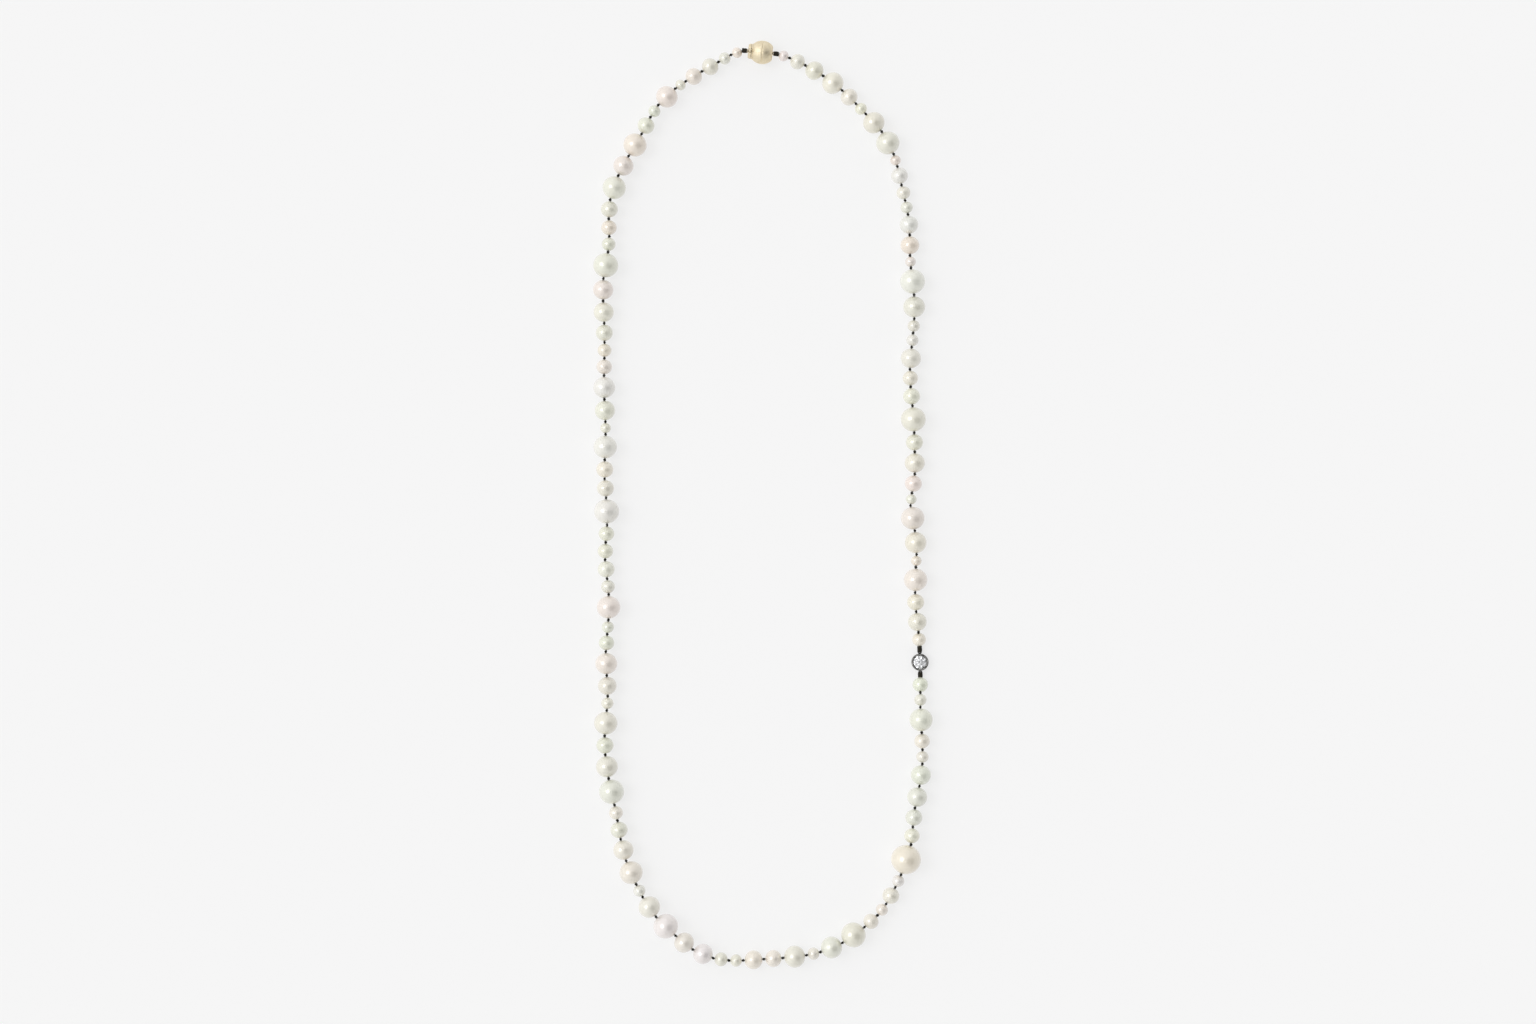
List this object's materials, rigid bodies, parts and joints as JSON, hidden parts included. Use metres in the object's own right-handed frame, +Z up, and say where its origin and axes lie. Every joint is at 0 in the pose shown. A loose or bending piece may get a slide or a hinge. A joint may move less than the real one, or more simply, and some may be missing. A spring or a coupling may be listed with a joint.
{
  "type": "pearl necklace",
  "caption": "Opera-length strand of drilled pearls on knotted silk, with a ball clasp and one bezel-set stone, laid out as a loop.",
  "frame": {"origin": "on the surface the necklace lies on, under the middle of its bounding box", "axes": "+Z up from the surface, +Y along the loop towards the clasp, +X across the loop to the side with the stone"},
  "size_m": [0.128, 0.35, 0.0113],
  "materials": {
    "pearl": "pearl nacre, satin lustre",
    "silk": "black twisted silk",
    "gold": "satin yellow gold",
    "silver": "oxidised silver, rubbed bright on its edges",
    "stone": "clear, faceted and polished"
  },
  "bodies": {
    "strand_right_9": {"pearls_right_9": "pearl", "silk_right_9": "silk", "whipping_clasp_right": "silk"},
    "strand_right_8": {"pearls_right_8": "pearl", "silk_right_8": "silk"},
    "strand_right_7": {"pearls_right_7": "pearl", "silk_right_7": "silk"},
    "strand_right_6": {"pearls_right_6": "pearl", "silk_right_6": "silk"},
    "strand_right_5": {"pearls_right_5": "pearl", "silk_right_5": "silk"},
    "strand_right_4": {"pearls_right_4": "pearl", "silk_right_4": "silk", "whipping_station_upper": "silk", "whipping_station_lower": "silk"},
    "strand_right_3": {"pearls_right_3": "pearl", "silk_right_3": "silk"},
    "strand_right_2": {"pearls_right_2": "pearl", "silk_right_2": "silk"},
    "strand_right_1": {"pearls_right_1": "pearl", "silk_right_1": "silk"},
    "strand_bottom": {"pearls_bottom": "pearl", "silk_bottom": "silk"},
    "strand_left_1": {"pearls_left_1": "pearl", "silk_left_1": "silk"},
    "strand_left_2": {"pearls_left_2": "pearl", "silk_left_2": "silk"},
    "strand_left_3": {"pearls_left_3": "pearl", "silk_left_3": "silk"},
    "strand_left_4": {"pearls_left_4": "pearl", "silk_left_4": "silk"},
    "strand_left_5": {"pearls_left_5": "pearl", "silk_left_5": "silk"},
    "strand_left_6": {"pearls_left_6": "pearl", "silk_left_6": "silk"},
    "strand_left_7": {"pearls_left_7": "pearl", "silk_left_7": "silk"},
    "strand_left_8": {"pearls_left_8": "pearl", "silk_left_8": "silk"},
    "strand_left_9": {"pearls_left_9": "pearl", "silk_left_9": "silk", "whipping_clasp_left": "silk"},
    "station": {"station_bezel": "silver", "station_stone": "stone", "station_ring_upper": "silver", "station_ring_lower": "silver"},
    "clasp_ball": {"clasp_ball_mouth_half": "gold", "clasp_ball_closed_half": "gold", "clasp_mouth_plate": "gold", "clasp_ball_ring": "gold"},
    "clasp_tongue": {"clasp_tongue_end_cap": "gold", "clasp_tongue_lower_leaf": "gold", "clasp_tongue_ring": "gold"},
    "clasp_spring": {"clasp_tongue_spring_leaf": "gold"}
  },
  "joints": [
    {"name": "fold_1_right", "type": "hinge", "parent": "strand_right_1", "child": "strand_right_2", "pos_m": [0.05729, -0.11417, 0.00426], "axis": [0.9999, -0.0103, -0.0051], "range_deg": [-25, 25]},
    {"name": "fold_1_left", "type": "hinge", "parent": "strand_bottom", "child": "strand_left_1", "pos_m": [-0.05597, -0.113, 0.00483], "axis": [0.9999, -0.0103, -0.0051], "range_deg": [-25, 25]},
    {"name": "fold_2_right", "type": "hinge", "parent": "strand_right_3", "child": "strand_right_4", "pos_m": [0.05933, -0.07612, 0.00454], "axis": [0.9994, -0.0349, 0.0052], "range_deg": [-25, 25]},
    {"name": "fold_2_left", "type": "hinge", "parent": "strand_left_1", "child": "strand_left_2", "pos_m": [-0.05849, -0.07201, 0.00392], "axis": [0.9994, -0.0349, 0.0052], "range_deg": [-25, 25]},
    {"name": "fold_3_right", "type": "hinge", "parent": "strand_right_4", "child": "strand_right_5", "pos_m": [0.05734, -0.03299, 0.00439], "axis": [1, 0.0062, 0.0009], "range_deg": [-25, 25]},
    {"name": "fold_3_left", "type": "hinge", "parent": "strand_left_2", "child": "strand_left_3", "pos_m": [-0.05813, -0.0337, 0.00428], "axis": [1, 0.0062, 0.0009], "range_deg": [-25, 25]},
    {"name": "fold_4_right", "type": "hinge", "parent": "strand_right_5", "child": "strand_right_6", "pos_m": [0.05561, -0.00019, 0.0045], "axis": [0.9997, -0.0252, -0.0015], "range_deg": [-25, 25]},
    {"name": "fold_4_left", "type": "hinge", "parent": "strand_left_3", "child": "strand_left_4", "pos_m": [-0.05911, 0.00271, 0.00467], "axis": [0.9997, -0.0252, -0.0015], "range_deg": [-25, 25]},
    {"name": "fold_5_right", "type": "hinge", "parent": "strand_right_6", "child": "strand_right_7", "pos_m": [0.05566, 0.04454, 0.00425], "axis": [0.9993, -0.037, 0.0027], "range_deg": [-25, 25]},
    {"name": "fold_5_left", "type": "hinge", "parent": "strand_left_4", "child": "strand_left_5", "pos_m": [-0.05991, 0.04882, 0.00394], "axis": [0.9993, -0.037, 0.0027], "range_deg": [-25, 25]},
    {"name": "fold_6_right", "type": "hinge", "parent": "strand_right_7", "child": "strand_right_8", "pos_m": [0.05544, 0.09405, 0.00416], "axis": [0.9999, -0.0115, -0.0038], "range_deg": [-25, 25]},
    {"name": "fold_6_left", "type": "hinge", "parent": "strand_left_6", "child": "strand_left_7", "pos_m": [-0.05837, 0.09536, 0.00459], "axis": [0.9999, -0.0115, -0.0038], "range_deg": [-25, 25]},
    {"name": "fold_7_right", "type": "hinge", "parent": "strand_right_8", "child": "strand_right_9", "pos_m": [0.04477, 0.14072, 0.00471], "axis": [0.9999, 0.0095, 0.0038], "range_deg": [-25, 25]},
    {"name": "fold_7_left", "type": "hinge", "parent": "strand_left_8", "child": "strand_left_9", "pos_m": [-0.04575, 0.13986, 0.00436], "axis": [0.9999, 0.0095, 0.0038], "range_deg": [-25, 25]},
    {"name": "swing_right", "type": "hinge", "parent": "strand_bottom", "child": "strand_right_1", "pos_m": [0.05573, -0.12778, 0.00591], "axis": [0, 0, -1], "range_deg": [0, 25]},
    {"name": "swing_right_upper", "type": "hinge", "parent": "strand_right_2", "child": "strand_right_3", "pos_m": [0.05984, -0.08571, 0.00436], "axis": [0, 0, -1], "range_deg": [-25, 0]},
    {"name": "swing_left", "type": "hinge", "parent": "strand_left_5", "child": "strand_left_6", "pos_m": [-0.05987, 0.06858, 0.00361], "axis": [0, 0, 1], "range_deg": [0, 25]},
    {"name": "swing_left_upper", "type": "hinge", "parent": "strand_left_7", "child": "strand_left_8", "pos_m": [-0.05454, 0.12416, 0.00449], "axis": [0, 0, 1], "range_deg": [-25, 0]},
    {"name": "station_turn", "type": "hinge", "parent": "strand_right_4", "child": "station", "pos_m": [0.0593, -0.05931, 0.0016], "axis": [0.0247, -0.9997, 0], "range_deg": [-25, 25]},
    {"name": "clasp_turn", "type": "hinge", "parent": "strand_right_9", "child": "clasp_ball", "pos_m": [-0.00028, 0.17061, 0.0044], "axis": [0.9953, -0.0967, 0], "range_deg": [-25, 25]},
    {"name": "clasp_turn_tongue", "type": "hinge", "parent": "strand_left_9", "child": "clasp_tongue", "pos_m": [-0.00028, 0.17061, 0.0044], "axis": [0.9953, -0.0967, 0], "range_deg": [-25, 25]},
    {"name": "thumb_tab_press", "type": "hinge", "parent": "clasp_tongue", "child": "clasp_spring", "pos_m": [0.00111, 0.17047, 0.0043], "axis": [-0.0967, -0.9953, 0], "range_deg": [0, 3], "stiffness_Nm_per_rad": 0.3}
  ],
  "couplings": [
    {"joint": "fold_1_left", "follows": "fold_1_right", "ratio": 1},
    {"joint": "fold_2_left", "follows": "fold_2_right", "ratio": 1},
    {"joint": "fold_3_left", "follows": "fold_3_right", "ratio": 1},
    {"joint": "fold_4_left", "follows": "fold_4_right", "ratio": 1},
    {"joint": "fold_5_left", "follows": "fold_5_right", "ratio": 1},
    {"joint": "fold_6_left", "follows": "fold_6_right", "ratio": 1},
    {"joint": "fold_7_left", "follows": "fold_7_right", "ratio": 1},
    {"joint": "swing_right_upper", "follows": "swing_right", "ratio": -1},
    {"joint": "swing_left_upper", "follows": "swing_left", "ratio": -1},
    {"joint": "clasp_turn_tongue", "follows": "clasp_turn", "ratio": 1}
  ]
}
